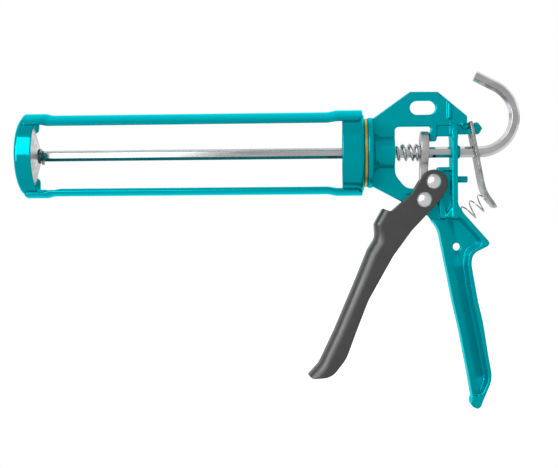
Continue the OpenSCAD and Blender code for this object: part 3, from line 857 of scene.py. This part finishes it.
def release_lever():
    a = math.radians(TAB_ANGLE)
    tab = np.array([math.sin(a), -math.cos(a)])
    aside = np.array([math.cos(a), math.sin(a)]) * LEVER_T / 2
    bend = LEVER_T / 2 * math.tan(a / 2)
    knee = np.array([0, -TAB_AT])
    low = -TAB_AT + tab[1] * TAB_L
    side_view = polygon(rounded([
        (-LEVER_T / 2, LEVER_TOP, 0), (LEVER_T / 2, LEVER_TOP, 0), (LEVER_T / 2, -TAB_AT + bend, 24),
        (*(knee + tab * (TAB_L + 1) + aside), 0), (*(knee + tab * (TAB_L + 1) - aside), 0),
        (-LEVER_T / 2, -TAB_AT - bend, 26),
    ]))
    half = LEVER_W / 2
    corners = [(-half, LEVER_TOP, 3), (half, LEVER_TOP, 3), (half, low, 6.5), (-half, low, 6.5)]
    front_view = polygon(rounded(corners))

    def shape(x, y, z):
        d = common(side_view(x, z), front_view(y, z), 0.5)
        d = cut(d, slab(box(y, z, (-3.1, 3.1), (-8.2, -0.5)), x, 9, 0), 0.4)
        return cut(d, np.hypot(y, z + LEVER_PIN[1] / math.cos(math.radians(LEVER_TILT))) - 4.4, 0.4)

    move = turned(-LEVER_TILT, (LEVER_PIN[0], 0, LEVER_PIN[1]), "y")
    o = sculpt("release_lever_sheet", shape, (-2, 0, low), (7.5, half, LEVER_TOP), 0.3, move)
    place(o, "lever", "cut_steel", "release_lever")


grip_frame()
front_cup()
rear_collar()
strap(1, STRAP_ANGLE / 2, STRAP_ANGLE / 2, "strap_top_sheet", "strap_top")
strap(-1, STRAP_ANGLE / 2, LOW_STRAP_ANGLE - STRAP_ANGLE / 2, "strap_bottom_sheet", "strap_bottom")
washers()
push_rod()
plunger()
drive_plate()
coil_spring("drive_spring_coil", 5.0, 1.8, 16.2, 3.8, 1, (18.15, 0), 0, 222, "frame", "drive_spring")
trigger()
rivet(PIVOT, "pivot_rivet_head", "pivot_rivet")
rivet(PUSHER, "pusher_rivet_head", "pusher_rivet")
release_lever()
coil_spring("release_spring_coil", 5.6, 0.88, 16.6, 2.4, 0, (63.6, -41.3), 36, 125, "frame", "release_spring")


# ---- Stage ----

def object_axes(tree, output):
    """The X, Y and Z of a texture coordinate."""
    where = tree.nodes.new("ShaderNodeTexCoord")
    parts = tree.nodes.new("ShaderNodeSeparateXYZ")
    tree.links.new(where.outputs[output], parts.inputs["Vector"])
    return parts.outputs


def floor():
    """White as seen, and as bright as a pale table in reflections, more so behind the object."""
    size, level = 8.0, -0.21
    corners = [(-size, -size, level), (size, -size, level), (size, size, level), (-size, size, level)]
    mesh = bpy.data.meshes.new("floor")
    mesh.from_pydata(corners, [], [(0, 1, 2, 3)])
    o = bpy.data.objects.new("floor", mesh)
    bpy.context.scene.collection.objects.link(o)
    m, tree, shader = nodes_of("floor_white")
    shader.inputs["Base Color"].default_value = (0, 0, 0, 1)
    shader.inputs["Specular IOR Level"].default_value = 0
    shader.inputs["Emission Color"].default_value = (1, 1, 1, 1)
    path = tree.nodes.new("ShaderNodeLightPath")
    seen = tree.nodes.new("ShaderNodeMath")
    seen.operation = "MAXIMUM"
    tree.links.new(remap(tree, object_axes(tree, "Object")["Y"], 0, 0.3, 0.66, 1.3), seen.inputs[0])
    tree.links.new(path.outputs["Is Camera Ray"], seen.inputs[1])
    tree.links.new(seen.outputs["Value"], shader.inputs["Emission Strength"])
    o.data.materials.append(m)


def room():
    """A plain studio round the object: white as seen, and shaded by height and depth in reflections."""
    world = bpy.data.worlds.new("studio")
    bpy.context.scene.world = world
    world.use_nodes = True
    tree = world.node_tree
    axes = object_axes(tree, "Generated")
    # Brightness by height, from straight down to straight up: before the object, then behind it
    before = [(0, 0.6), (0.5, 0.6), (0.85, 0.62), (0.95, 0.5), (1, 0.55)]
    behind = [(0, 0.6), (0.45, 0.7), (0.54, 0.8), (0.62, 1.5), (0.82, 1.45), (0.97, 1.05), (1, 0.6)]
    shade = tree.nodes.new("ShaderNodeMix")
    shade.data_type = "RGBA"
    tree.links.new(remap(tree, axes["Y"], 0.1, 0.5), shade.inputs["Factor"])
    for socket, stops in (("A", before), ("B", behind)):
        ramp = tree.nodes.new("ShaderNodeValToRGB")
        tree.links.new(remap(tree, axes["Z"], -1, 1), ramp.inputs["Fac"])
        ramp.color_ramp.elements.remove(ramp.color_ramp.elements[1])
        for i, (at, v) in enumerate(stops):
            e = ramp.color_ramp.elements[0] if i == 0 else ramp.color_ramp.elements.new(at)
            e.position = at
            e.color = (v, v, v, 1)
        tree.links.new(ramp.outputs["Color"], shade.inputs[socket])
    reflected = tree.nodes["Background"]
    tree.links.new(shade.outputs["Result"], reflected.inputs["Color"])
    plain = tree.nodes.new("ShaderNodeBackground")
    plain.inputs["Color"].default_value = (1, 1, 1, 1)
    path = tree.nodes.new("ShaderNodeLightPath")
    mix = tree.nodes.new("ShaderNodeMixShader")
    tree.links.new(path.outputs["Is Camera Ray"], mix.inputs["Fac"])
    tree.links.new(reflected.outputs["Background"], mix.inputs[1])
    tree.links.new(plain.outputs["Background"], mix.inputs[2])
    tree.links.new(mix.outputs["Shader"], tree.nodes["World Output"].inputs["Surface"])


def softbox(name, at, size, power):
    """Rectangular area light that faces the object's middle."""
    light = bpy.data.lights.new(name, "AREA")
    light.shape = "RECTANGLE"
    light.size, light.size_y = size
    light.energy = power
    o = bpy.data.objects.new(name, light)
    o.location = at
    target = Vector((-0.06, 0, -0.05))
    o.rotation_euler = (target - Vector(at)).to_track_quat("-Z", "Y").to_euler()
    bpy.context.scene.collection.objects.link(o)


def camera():
    """Level camera in front of the object, a little to its right."""
    look_at = Vector((-0.0584, 0, -0.0529))
    away, azimuth, roll = 0.693, math.radians(3), math.radians(0.35)
    data = bpy.data.cameras.new("camera")
    data.sensor_width = 36
    data.lens = 67.7
    o = bpy.data.objects.new("camera", data)
    o.location = look_at + away * Vector((math.sin(azimuth), -math.cos(azimuth), 0))
    o.rotation_euler = (math.pi / 2, roll, azimuth)
    bpy.context.scene.collection.objects.link(o)
    bpy.context.scene.camera = o


floor()
room()
softbox("key", (-0.61, -0.84, 0.43), (0.95, 0.9), 6.6)
softbox("left", (-0.9, -0.65, 0.05), (0.4, 0.7), 3.2)
camera()
bpy.context.scene.view_settings.view_transform = "Standard"
